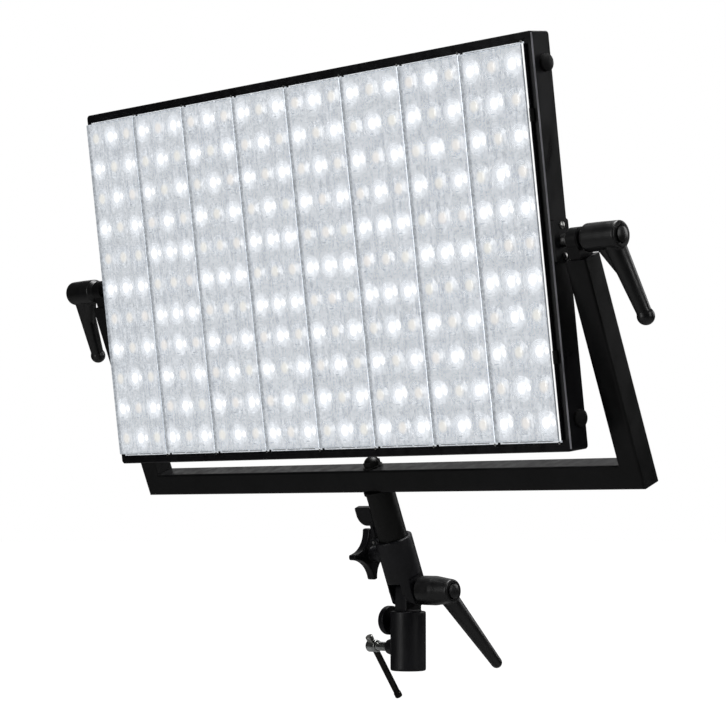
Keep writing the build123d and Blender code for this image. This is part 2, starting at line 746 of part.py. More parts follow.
def receiver():
    """The lower casting: a socket for the stand's stud, a neck and the tilt joint's tongue."""
    body = rod_z(RECEIVER_R, 0, RECEIVER_H)
    body = fillet(body.edges().filter_by(GeomType.CIRCLE), 2)
    body += block(-TONGUE_HALF, TONGUE_HALF, -TONGUE_R, TONGUE_R, RECEIVER_H - 1, JOINT_Z)
    body += rod_x(TONGUE_R, -TONGUE_HALF, TONGUE_HALF, 0, JOINT_Z)
    boss = Cone(BOSS_R + 1.5, BOSS_R - 1.5, BOSS_ROOT_X - BOSS_END_X, align=MIN_Z)
    body += Pos(BOSS_ROOT_X, 0, T_SCREW_Z) * Rot(0, -90, 0) * boss
    body -= rod_z(BORE_R, -1, BORE_DEPTH)
    body -= rod_x(T_SCREW_R + RUN_GAP, BOSS_END_X - 1, 0, 0, T_SCREW_Z)
    body -= rod_x(LOCK_STEM_R + RUN_GAP, -RECEIVER_R - 1, 0, 0, LOCK_Z)
    return body - rod_x(CROSS_BOLT_R, -20, 20, 0, JOINT_Z)


def tilt_bolt():
    """The cross bolt of the tilt joint, held in the receiver's tongue."""
    head = rod_x(CROSS_BOLT_HEAD_R, -EAR_HALF - 6, -EAR_HALF - FACE_GAP, 0, JOINT_Z)
    head = chamfer(head.faces().sort_by(Axis.X)[0].edges(), 1)
    return head + rod_x(CROSS_BOLT_R, -EAR_HALF - FACE_GAP, TILT_HUB_X + TILT_HUB_L - 10, 0, JOINT_Z)


def upper_socket():
    """The upper casting: a socket for the yoke's spigot over two ears, with its bosses."""
    body = rod_z(SOCKET_R, 0, SOCKET_RIM)
    body = fillet(body.faces().sort_by(Axis.Z)[-1].edges(), 1)
    body += rod_x(SOCKET_R, -SOCKET_R, SOCKET_R) & rod_z(SOCKET_R, -SOCKET_R, SOCKET_R)
    body -= rod_z(SOCKET_R + 1, -SOCKET_R - 1, 0) - rod_x(EAR_R, -SOCKET_R - 1, SOCKET_R + 1)
    for side in (-1, 1):
        x0, x1 = sorted((side * EAR_HALF, side * (SOCKET_R + 1)))
        body -= block(x0, x1, -SOCKET_R - 1, SOCKET_R + 1, -SOCKET_R - 1, TILT_HUB_R + 1.5)
    body -= block(-EAR_SLOT_HALF, EAR_SLOT_HALF, -SOCKET_R - 1, SOCKET_R + 1, -SOCKET_R - 1, SLOT_TOP)
    body += rod_x(STAR_BOSS_R, STAR_BOSS_X, -SOCKET_R + 2, 0, STAR_D)
    body += catch_lug()
    body -= rod_z(SPIGOT_R + RUN_GAP, SOCKET_FLOOR, SOCKET_RIM + 1)
    body -= rod_x(STAR_SCREW_R + RUN_GAP, STAR_BOSS_X - 1, 0, 0, STAR_D)
    return body - rod_x(CROSS_BOLT_R + RUN_GAP, -SOCKET_R - 1, SOCKET_R + 1)


def catch_lug():
    """Two small ears on the socket's rim that hold the catch's pin."""
    lug = block(CATCH_X - 4, -SOCKET_R + 3, -7, 7, CATCH_D - 4, CATCH_D + 3.5)
    lug -= block(CATCH_X - 5, -SOCKET_R - 0.2, -4, 4, CATCH_D - 5, CATCH_D + 4)
    return lug - rod_y(CATCH_PIN_R, -8, 8, CATCH_X, CATCH_D)


def catch_pin():
    """The pin that the catch turns on."""
    return rod_y(CATCH_PIN_R, -7.5, 7.5, CATCH_X, CATCH_D)


def catch_paddle():
    """The safety catch: a foot on the pin and a D-shaped thumb plate above it."""
    foot = rod_y(3.4, -3.7, 3.7, CATCH_X, CATCH_D)
    stem = block(CATCH_X - 2, CATCH_X + 2, -3.7, 3.7, CATCH_D, CATCH_D + 22)
    plate = block(CATCH_X - 19, CATCH_X + 4, -3, 3, CATCH_D + 18, CATCH_D + 39.5)
    plate = fillet(plate.edges().filter_by(Axis.Y).sort_by(Axis.X)[:2].sort_by(Axis.Z)[0], 12)
    plate = fillet(plate.edges().filter_by(Axis.Y).sort_by(Axis.Z)[-2:], 2.5)
    return foot + stem + plate - rod_y(CATCH_PIN_R + RUN_GAP, -8, 8, CATCH_X, CATCH_D)


def star_knob():
    """The four-armed grip of the screw that locks the swivel."""
    disc = Cylinder(STAR_R, STAR_T)
    for index in range(4):
        disc -= Rot(0, 0, 45 + 90 * index) * Pos(STAR_WAIST + STAR_HOLLOW_R, 0, 0) * Cylinder(STAR_HOLLOW_R, STAR_T + 2)
    disc = fillet(disc.edges().filter_by(Axis.Z), 2)
    flats = disc.faces().sort_by(Axis.Z)
    disc = fillet(flats[0].edges() + flats[-1].edges(), 1.5)
    collar_l = STAR_BOSS_X - FACE_GAP - STAR_X - STAR_T / 2
    knob = disc + Pos(0, 0, STAR_T / 2) * Cylinder(STAR_COLLAR_R, collar_l, align=MIN_Z)
    knob -= Pos(0, 0, -STAR_T / 2 + 3) * Cylinder(STAR_SCREW_R, 40, align=MIN_Z)
    return Pos(STAR_X, 0, STAR_D) * Rot(0, 90, 0) * Rot(0, 0, STAR_TURN) * knob


def star_screw():
    """The screw moulded into the star knob."""
    return rod_x(STAR_SCREW_R, STAR_X - STAR_T / 2 + 3, -SPIGOT_R - 0.4, 0, STAR_D)


def tilt_lever():
    """The tilt joint's clamping lever: a long hub and a straight tapered arm."""
    body = hub(TILT_HUB_R, TILT_HUB_L, TILT_HUB_L / 2, TILT_HUB_END_R)
    root = (TILT_HUB_L - TILT_LEVER_ROOT, 0, 0)
    tip = (TILT_HUB_L - TILT_LEVER_ROOT + TILT_LEVER_OUT, 0, -TILT_LEVER_DROP)
    body += tapered_rod(root, tip, TILT_LEVER_ROOT_R, TILT_LEVER_TIP_R)
    body += Pos(*tip) * Sphere(TILT_LEVER_TIP_R)
    body -= hub_bore(TILT_HUB_L)
    return Pos(TILT_HUB_X, 0, JOINT_Z) * Rot(TILT_LEVER_SWING, 0, 0) * body


def t_screw():
    """The clamp screw for the stand's stud; the sliding bar passes through its head."""
    head = rod_x(T_HEAD_R, T_BAR_X - T_HEAD_R, T_BAR_X + T_HEAD_R)
    head = fillet(head.edges().filter_by(GeomType.CIRCLE), 1.2)
    screw = head + rod_x(T_SCREW_R, T_BAR_X, -BORE_R - 0.5)
    screw -= rod_z(T_BAR_R + RUN_GAP, -20, 20, T_BAR_X, 0)
    return T_FRAME * screw


def t_bar():
    """The sliding bar with a round stop at each end."""
    rod = rod_z(T_BAR_R, T_BAR_SHORT - T_BAR_L, T_BAR_SHORT, T_BAR_X, 0)
    for z in (T_BAR_SHORT, T_BAR_SHORT - T_BAR_L):
        stop = rod_z(T_BAR_R + 0.6, z - 3, z + 3, T_BAR_X, 0)
        rod += fillet(stop.edges().filter_by(GeomType.CIRCLE), 0.8)
    return T_FRAME * rod


def lock_pin():
    """The spring-loaded pin above the clamp screw, with its round pull knob."""
    knob = rod_x(LOCK_R, LOCK_X, LOCK_X + LOCK_T, 0, LOCK_Z)
    knob = fillet(knob.edges().filter_by(GeomType.CIRCLE), 1.5)
    return knob + rod_x(LOCK_STEM_R, LOCK_X + LOCK_T - 1, -BORE_R - 0.5, 0, LOCK_Z)


# ---- assembly ----
def panel_nodes():
    """Everything that tilts with the panel."""
    blank = frame_blank()
    right = frame_side(blank)
    top = frame_end(blank)
    plate = pivot_plate()
    stud = pivot_stud()
    spacer = pivot_spacer()
    screws = pivot_plate_screws()
    sink = heat_sink()
    nodes = {
        "frame_right": [right],
        "frame_left": [mirror_x(right)],
        "frame_top": [top],
        "frame_bottom": [mirror(top, about=Plane.XY)],
        "back_plate": [back_plate()],
        "led_boards": led_boards(),
        "cool_led_chips": led_chips(True),
        "warm_led_chips": led_chips(False),
        "lens_clips": lens_clips(),
        "lens_screws": lens_screws(),
        "side_bumpers": side_bumpers(),
        "pivot_plates": [plate, mirror_x(plate)],
        "pivot_plate_screws": screws + [mirror_x(screw) for screw in screws],
        "pivot_studs": [stud, mirror_x(stud)],
        "pivot_spacers": [spacer, mirror_x(spacer)],
        "heat_sink_right": [sink],
        "heat_sink_left": [mirror_x(sink)],
        "heat_sink_screws": sink_screws(),
        "driver_box": [driver_box()],
        "driver_box_screws": driver_box_screws(),
        "driver_board": [driver_board()],
        "board_standoffs": board_standoffs(),
        "driver_parts": driver_parts(),
        "power_inlet": [power_inlet()],
        "power_switch": [power_switch()],
        "dimmer_knob": [rear_knob(-KNOB_X)],
        "colour_knob": [rear_knob(KNOB_X)],
    }
    for index in range(STRIP_COUNT):
        nodes[f"lens_plate_{index + 1}"] = [lens_plate(index)]
    return nodes


def yoke_nodes():
    """Everything that leans with the yoke, and what is fixed to the upper socket."""
    button_x = HUB_X + LEVER_HUB_L - BUTTON_L
    button = hub_button(button_x, PIVOT_D)
    return {
        "yoke_bar": [yoke_bar()],
        "yoke_arm_left": [yoke_arm(-1)],
        "yoke_arm_right": [yoke_arm(1)],
        "yoke_lug_left": [yoke_lug(-1)],
        "yoke_lug_right": [yoke_lug(1)],
        "pivot_washers": pivot_washers(),
        "spigot": [spigot()],
        "spigot_bolt": [spigot_bolt()],
        "dome_nut": [dome_nut()],
        "pivot_lever_right": [pivot_lever(RIGHT_LEVER_SWING - YOKE_LEAN)],
        "pivot_lever_left": [mirror_x(pivot_lever(LEFT_LEVER_SWING - YOKE_LEAN))],
        "pivot_button_right": [button],
        "pivot_button_left": [mirror_x(button)],
        "upper_socket": [upper_socket()],
        "star_knob": [star_knob()],
        "star_screw": [star_screw()],
        "catch_paddle": [catch_paddle()],
        "catch_pin": [catch_pin()],
    }


def stand_nodes():
    """Everything that stays with the stand."""
    return {
        "receiver": [receiver()],
        "tilt_bolt": [tilt_bolt()],
        "tilt_lever": [tilt_lever()],
        "tilt_button": [hub_button(TILT_HUB_X + TILT_HUB_L - BUTTON_L, JOINT_Z)],
        "t_screw": [t_screw()],
        "t_bar": [t_bar()],
        "lock_pin": [lock_pin()],
    }


def write(nodes, frame):
    """Writes one file for each node, moved into the assembly's frame."""
    for name, pieces in nodes.items():
        solids = [solid for piece in pieces for solid in (frame * piece).solids()]
        shape = solids[0] if len(solids) == 1 else Compound(children=solids)
        export_step(shape, f"parts/{name}.step")


def main():
    os.makedirs("parts", exist_ok=True)
    write(panel_nodes(), PANEL_FRAME)
    write(yoke_nodes(), YOKE_FRAME)
    write(stand_nodes(), Location((0, 0, 0)))


if __name__ == "__main__":
    main()
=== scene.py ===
import json
import math

import bmesh
import bpy
import numpy as np
from mathutils import Matrix, Vector

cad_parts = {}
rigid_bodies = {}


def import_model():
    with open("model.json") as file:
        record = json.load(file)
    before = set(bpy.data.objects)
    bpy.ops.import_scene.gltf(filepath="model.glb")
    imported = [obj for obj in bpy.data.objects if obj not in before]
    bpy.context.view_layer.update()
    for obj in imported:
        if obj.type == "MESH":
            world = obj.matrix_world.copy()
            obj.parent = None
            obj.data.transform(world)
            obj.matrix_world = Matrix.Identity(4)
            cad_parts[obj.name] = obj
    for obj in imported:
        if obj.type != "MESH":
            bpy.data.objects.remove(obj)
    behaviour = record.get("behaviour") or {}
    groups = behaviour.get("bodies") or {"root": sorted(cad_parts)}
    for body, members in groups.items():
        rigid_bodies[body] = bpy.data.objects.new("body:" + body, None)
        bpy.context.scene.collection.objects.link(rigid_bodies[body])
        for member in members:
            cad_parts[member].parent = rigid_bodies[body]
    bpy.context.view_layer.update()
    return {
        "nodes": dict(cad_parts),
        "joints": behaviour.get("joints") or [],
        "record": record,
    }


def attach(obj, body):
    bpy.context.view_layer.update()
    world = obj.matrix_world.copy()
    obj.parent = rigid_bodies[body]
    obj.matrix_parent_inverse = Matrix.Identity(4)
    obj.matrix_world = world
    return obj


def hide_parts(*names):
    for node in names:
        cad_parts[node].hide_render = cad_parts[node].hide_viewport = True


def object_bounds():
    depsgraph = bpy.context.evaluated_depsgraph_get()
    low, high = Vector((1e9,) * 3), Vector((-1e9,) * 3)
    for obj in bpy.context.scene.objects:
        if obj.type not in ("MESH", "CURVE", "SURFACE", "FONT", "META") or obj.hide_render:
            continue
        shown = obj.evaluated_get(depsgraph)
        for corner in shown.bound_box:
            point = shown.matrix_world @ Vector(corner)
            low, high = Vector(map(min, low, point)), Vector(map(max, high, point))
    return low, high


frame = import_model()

MM = 0.001

# ---- camera, lights and floor, in metres ----
VIEW_AZIMUTH = math.radians(44.93)
VIEW_PITCH = math.radians(3.81)
VIEW_AIM = Vector((0.0305, -0.1005, 0.3307))
VIEW_DISTANCE = 2.4963
SENSOR_W = 36.0
FOCAL_L = 116.5
FLOOR_DROP = 0.55
FLOOR_SIZE = 120.0
FLOOR_GREY = 0.65
FLOOR_GLOW = 1.2
BACKGROUND = 1.0
SURROUND = 0.035
# Each light's place from the object's middle, its width, its height and its power.
LIGHTS = {
    "overhead": ((0.2, 0.3, 2.2), 1.8, 1.1, 62.0),
    "front_left": ((-0.4, -2.4, 0.3), 0.6, 1.6, 12.0),
    "right_side": ((2.4, 0.3, 0.8), 0.5, 1.5, 8.0),
    "rear_left": ((-1.9, 1.5, 1.25), 1.5, 1.0, 2.4),
    "rear_right": ((0.9, 2.4, 0.9), 1.2, 1.2, 10.0),
}

# ---- lens strips, in millimetres ----
STRIP_COUNT = 8
COLUMNS = 3
ROWS = 11
COLUMN_PITCH = 27.2
ROW_PITCH = 34.6
CELL_HALF_W = COLUMN_PITCH / 2
CELL_HALF_H = ROW_PITCH / 2
RELIEF = 0.7
DOME_R = 5.0
DOME_RINGS = (0.35, 0.65, 0.88, 1.0)  # fractions of DOME_R
RIM_DEPTH = 0.8  # fractions of RELIEF
BLEND_DEPTH = 0.55
TOOTH_PITCH = 1.65
TOOTH_DEPTH = 0.42
TOOTH_COUNT = 5
TOOTH_FACE = 0.3
CORNER_STEPS = 6
SIDE_STEPS = 4
EDGE_BEVEL = 0.7
PLATE_T = 3.0
WALL_T = 1.6
RIM_SLACK = 0.01
TAB_T = 0.5
TAB_W = 14.0
TAB_LAP = 0.5
TAB_INSET = 3.5
SLOT_H = 1.3
RAIL_H = 1.1
RIB_W = 2.2
RIB_COUNT = 3
SCREW_SEAT = 0.9
WALL_LIT = 3.2
WALL_FADE = 0.8
UV_SPAN = 100.0
SEED = 11

# ---- places of a lens strip's three materials in its slots ----
FACE_INDEX = 0
EDGE_INDEX = 1
WALL_INDEX = 2

# ---- moulded and cast pieces ----
WELD = 0.002 * MM
SMALL_VOXEL = 0.35 * MM
FINE_VOXEL = 0.55 * MM
CAST_VOXEL = 0.7 * MM
BUTTON_TRAVEL = 2.9
BUTTON_CLEAR = 0.3
BUTTON_OPEN = 6.0
BUTTON_SEGMENTS = 96

# ---- grain of the finishes: noise scales per metre, and an unevenness of gloss ----
COAT_GRAIN = 1100.0
COAT_PATCH = 28.0
COAT_SPREAD = 0.09
METAL_GRAIN = 900.0
METAL_MOTTLE = 160.0


def joint(name):
    return next(j for j in frame["joints"] if j["name"] == name)


def local_frame(origin, y_axis):
    """The place of something that leans about X: its own Y axis and origin are given."""
    x_axis = Vector((1, 0, 0))
    y_axis = Vector(y_axis).normalized()
    turn = Matrix((x_axis, y_axis, x_axis.cross(y_axis))).transposed()
    return Matrix.Translation(Vector(origin)) @ turn.to_4x4()


PANEL = local_frame(joint("panel_tilt")["pos_m"], joint("dimmer_turn")["axis"])
BODIES = frame["record"]["behaviour"]["bodies"]
BODY_OF = {node: body for body, nodes in BODIES.items() for node in nodes}


def panel_box(node):
    """A node's lowest and highest corners in the panel's own frame, in millimetres."""
    mesh = frame["nodes"][node].data
    points = [PANEL.inverted() @ v.co / MM for v in mesh.vertices]
    low = Vector(min(p[axis] for p in points) for axis in range(3))
    high = Vector(max(p[axis] for p in points) for axis in range(3))
    return low, high


# ---- materials ----
class Shader:
    """A material with a Principled surface, and short calls for the nodes that feed it."""

    def __init__(self, name):
        self.material = bpy.data.materials.new(name)
        self.material.use_nodes = True
        self.tree = self.material.node_tree
        self.tree.nodes.clear()
        self.surface = self.node("ShaderNodeBsdfPrincipled")
        out = self.node("ShaderNodeOutputMaterial")
        self.join(self.surface.outputs["BSDF"], out.inputs["Surface"])
        self.coords = self.node("ShaderNodeTexCoord").outputs["Object"]

    def node(self, kind, **settings):
        made = self.tree.nodes.new(kind)
        for key, value in settings.items():
            setattr(made, key, value)
        return made

    def join(self, source, target):
        self.tree.links.new(source, target)

    def feed(self, target, value):
        """Joins an output to a socket, or sets a constant on it."""
        if isinstance(value, bpy.types.NodeSocket):
            self.join(value, target)
        else:
            target.default_value = value

    def math(self, operation, a, b=0.0):
        made = self.node("ShaderNodeMath", operation=operation)
        self.feed(made.inputs[0], a)
        self.feed(made.inputs[1], b)
        return made.outputs[0]

    def times(self, a, b):
        return self.math("MULTIPLY", a, b)

    def vector(self, operation, a, b=(0, 0, 0)):
        made = self.node("ShaderNodeVectorMath", operation=operation)
        self.feed(made.inputs[0], a)
        self.feed(made.inputs[1], b)
        return made.outputs["Value" if operation == "LENGTH" else "Vector"]

    def split(self, vector):
        """The three parts of a vector."""
        made = self.node("ShaderNodeSeparateXYZ")
        self.join(vector, made.inputs[0])
        return made.outputs[0], made.outputs[1], made.outputs[2]

    def noise(self, scale, detail=2.0, stretch=(1, 1, 1), distortion=0.0):
        made = self.node("ShaderNodeTexNoise")
        self.join(self.vector("MULTIPLY", self.coords, stretch), made.inputs["Vector"])
        made.inputs["Scale"].default_value = scale
        made.inputs["Detail"].default_value = detail
        made.inputs["Distortion"].default_value = distortion
        return made.outputs["Fac"]

    def ramp(self, value, start, end, low=0.0, high=1.0, smooth=False):
        """Spreads start..end of a value over low..high, clamped."""
        kind = "SMOOTHSTEP" if smooth else "LINEAR"
        made = self.node("ShaderNodeMapRange", interpolation_type=kind)
        self.feed(made.inputs["Value"], value)
        made.inputs["From Min"].default_value = start
        made.inputs["From Max"].default_value = end
        made.inputs["To Min"].default_value = low
        made.inputs["To Max"].default_value = high
        return made.outputs["Result"]

    def mix(self, amount, a, b, blend="MIX"):
        made = self.node("ShaderNodeMix", data_type="RGBA", blend_type=blend)
        self.feed(made.inputs["Factor"], amount)
        for socket, value in (("A", a), ("B", b)):
            target = next(i for i in made.inputs if i.name == socket and i.type == "RGBA")
            linked = isinstance(value, bpy.types.NodeSocket)
            self.feed(target, value if linked else (*value, 1))
        return next(o for o in made.outputs if o.type == "RGBA")

    def bump(self, height, strength, depth, below=None):
        made = self.node("ShaderNodeBump")
        made.inputs["Strength"].default_value = strength
        made.inputs["Distance"].default_value = depth
        self.join(height, made.inputs["Height"])
        if below:
            self.join(below, made.inputs["Normal"])
        return made.outputs["Normal"]

    def set(self, **inputs):
        for key, value in inputs.items():
            self.feed(self.surface.inputs[key.replace("_", " ")], value)


def coated(name, low, high, rough, depth=0.05, specular=0.3, corner_highlight=0.0):
    """Powder coat or moulded plastic: fine grain, soft patches of colour and uneven gloss, and if
    asked a painted highlight on rounded corners.
    """
    s = Shader(name)
    patches = s.noise(COAT_PATCH, 4.0)
    smears = s.noise(COAT_PATCH * 3.1, 3.0, stretch=(1, 1, 0.35))
    fine = s.noise(COAT_GRAIN, 2.0)
    dust = s.ramp(s.noise(COAT_GRAIN * 0.45, 5.0), 0.66, 0.78, 0.0, 0.35)
    colour = s.mix(s.ramp(patches, 0.35, 0.65), low, high)
    if corner_highlight:
        # Painted highlight on the rounded corners, lighter and a little blue where light catches
        # them. A rounded corner between two sides faces both ways, which tells it from the flats.
        facing_x, facing_y, _ = s.split(s.node("ShaderNodeTexCoord").outputs["Normal"])
        corner = s.times(s.math("ABSOLUTE", facing_x), s.math("ABSOLUTE", facing_y))
        painted_corner_mask = s.times(s.ramp(corner, 0.42, 0.47), s.ramp(smears, 0.25, 0.6, 0.35, 1.0))
        colour = s.mix(painted_corner_mask, colour, (corner_highlight, corner_highlight, corner_highlight * 1.08))
    dusty = tuple(min(1.0, c * 3 + 0.006) for c in high)
    s.set(Base_Color=s.mix(dust, colour, dusty), Specular_IOR_Level=specular)
    smeared = s.ramp(smears, 0.3, 0.7, rough - COAT_SPREAD, rough + COAT_SPREAD)
    s.set(Roughness=s.math("ADD", smeared, s.ramp(fine, 0, 1, -0.05, 0.05)))
    waves = s.bump(s.noise(COAT_GRAIN * 0.16, 1.0), 0.35, depth * MM * 2.2)
    s.set(Normal=s.bump(fine, 0.55, depth * MM, waves))
    return s.material


def metal(name, low, high, rough, stretch=(1, 1, 1), tint=None):
    """Plated or machined metal: tool marks along one direction and a mottled plating."""
    s = Shader(name)
    marks = s.noise(METAL_GRAIN, 3.0, stretch=stretch)
    mottle = s.noise(METAL_MOTTLE, 4.0)
    colour = s.mix(s.ramp(mottle, 0.35, 0.7), low, high)
    if tint:
        colour = s.mix(s.ramp(s.noise(70.0, 3.0), 0.5, 0.72, 0.0, 0.6), colour, tint)
    s.set(Base_Color=colour, Metallic=1.0)
    s.set(Roughness=s.ramp(marks, 0.25, 0.75, rough * 0.7, rough * 1.4))
    s.set(Normal=s.bump(marks, 0.3, 0.03 * MM))
    return s.material


def board_mask():
    """White solder mask with faint traces under it."""
    s = Shader("board_white_mask")
    lanes = s.noise(90.0, 1.0, stretch=(6, 1, 0.4))
    colour = s.mix(s.ramp(lanes, 0.48, 0.52), (0.78, 0.79, 0.78), (0.70, 0.72, 0.72))
    s.set(Base_Color=colour, Roughness=s.ramp(s.noise(500.0), 0, 1, 0.3, 0.45))
    s.set(Normal=s.bump(lanes, 0.3, 0.03 * MM))
    return s.material


def emitter(name, rim, middle, glow):
    """A light emitter's resin window, brighter where the phosphor is thick."""
    s = Shader(name)
    depth = s.noise(420.0, 3.0)
    colour = s.mix(s.ramp(depth, 0.3, 0.7), rim, middle)
    s.set(Base_Color=colour, Emission_Color=colour, Emission_Strength=glow)
    s.set(Roughness=s.ramp(depth, 0, 1, 0.2, 0.4))
    return s.material


def circuit():
    """Green circuit board with a denser pattern of traces and vias."""
    s = Shader("circuit_green_board")
    traces = s.noise(260.0, 2.0, stretch=(1, 1, 3))
    colour = s.mix(s.ramp(traces, 0.49, 0.53), (0.008, 0.06, 0.02), (0.02, 0.13, 0.04))
    s.set(Base_Color=colour, Roughness=s.ramp(traces, 0, 1, 0.3, 0.5))
    s.set(Normal=s.bump(traces, 0.4, 0.05 * MM))
    return s.material


def fins():
    """Black anodised extrusion with fine draw lines up its fins."""
    s = Shader("sink_black_anodised")
    lines = s.noise(1500.0, 2.0, stretch=(1, 1, 0.02))
    mottle = s.noise(40.0, 3.0)
    s.set(Base_Color=s.mix(mottle, (0.010, 0.010, 0.011), (0.022, 0.022, 0.024)))
    s.set(Specular_IOR_Level=0.7, Roughness=s.ramp(lines, 0.2, 0.8, 0.3, 0.5))
    s.set(Normal=s.bump(lines, 0.5, 0.04 * MM))
    return s.material


def sliding_bar():
    """A black oxide bar, rubbed bright near the end that is gripped."""
    s = Shader("bar_black_oxide")
    up = s.split(s.coords)[2]
    marks = s.noise(METAL_GRAIN, 3.0, stretch=(1, 1, 6))
    mottle = s.ramp(s.noise(METAL_MOTTLE, 4.0), 0.35, 0.7)
    black = s.mix(mottle, (0.018, 0.017, 0.016), (0.050, 0.047, 0.042))
    height = s.math("ADD", up, s.times(marks, 1.5 * MM))
    start = joint("clamp_screw_turn")["pos_m"][2] + 3 * MM
    bright = s.ramp(height, start, start + 3 * MM)
    s.set(Base_Color=s.mix(bright, black, (0.42, 0.42, 0.40)), Metallic=1.0)
    s.set(Roughness=s.ramp(marks, 0.25, 0.75, 0.22, 0.42), Normal=s.bump(marks, 0.3, 0.03 * MM))
    return s.material


# Two colours from dark to pale, and a roughness, for each of the record's material slots.
FINISHES = {
    # The frame's coat carries a painted highlight along its rounded corners.
    "frame_paint": coated(
        "frame_paint_coat", (0.0035, 0.0034, 0.0042), (0.0065, 0.0062, 0.0080), 0.36, corner_highlight=0.55
    ),
    "back_paint": coated("back_paint_coat", (0.005, 0.005, 0.006), (0.009, 0.009, 0.010), 0.5),
    "board_white": board_mask(),
    "led_cool": emitter("led_cool_window", (0.9, 0.95, 1.0), (1.0, 1.0, 1.0), 3.0),
    "led_warm": emitter("led_warm_window", (0.75, 0.5, 0.2), (0.9, 0.7, 0.35), 0.0),
    "clip_black": coated(
        "clip_black_plastic", (0.0035, 0.0035, 0.004), (0.007, 0.007, 0.0075), 0.45
    ),
    "screw_steel": metal("screw_steel_plate", (0.42, 0.42, 0.41), (0.66, 0.66, 0.64), 0.3),
    "bumper_rubber": coated(
        "bumper_rubber_moulded", (0.003, 0.003, 0.003), (0.006, 0.006, 0.006), 0.66
    ),
    "pivot_plate_paint": coated(
        "pivot_plate_coat", (0.004, 0.004, 0.0045), (0.007, 0.007, 0.008), 0.34
    ),
    "bush_steel": metal(
        "bush_steel_turned", (0.35, 0.35, 0.35), (0.6, 0.6, 0.59), 0.26, (40, 1, 1)
    ),
    "sink_black": fins(),
    "cover_paint": coated(
        "cover_paint_coat", (0.008, 0.008, 0.009), (0.014, 0.014, 0.015), 0.5, depth=0.08
    ),
    "circuit_green": circuit(),
    "component_dark": coated(
        "component_dark_body", (0.01, 0.01, 0.012), (0.03, 0.03, 0.035), 0.4
    ),
    "knob_black": coated(
        "knob_black_plastic", (0.005, 0.005, 0.005), (0.009, 0.009, 0.009), 0.42
    ),
    "yoke_paint": coated(
        "yoke_paint_coat", (0.0030, 0.0030, 0.0032), (0.0060, 0.0060, 0.0066), 0.40
    ),
    "spigot_paint": coated(
        "spigot_paint_coat", (0.0030, 0.0030, 0.0030), (0.0055, 0.0055, 0.0050), 0.36
    ),
    "lever_black": coated(
        "lever_black_nylon",
        (0.0040, 0.0040, 0.0043), (0.0075, 0.0075, 0.0080), 0.36, depth=0.03, specular=0.6
    ),
    "casting_black": coated(
        "casting_black_epoxy",
        (0.0040, 0.0040, 0.0056), (0.0080, 0.0080, 0.0108), 0.42, depth=0.09, specular=0.45
    ),
    "grip_black": coated(
        "grip_black_plastic", (0.0045, 0.0045, 0.0055), (0.0080, 0.0080, 0.0100), 0.36
    ),
    "screw_bronze": metal(
        "screw_chrome_worn",
        (0.30, 0.31, 0.30), (0.74, 0.76, 0.75), 0.2, tint=(0.10, 0.09, 0.07)
    ),
    "bar_black": sliding_bar(),
}


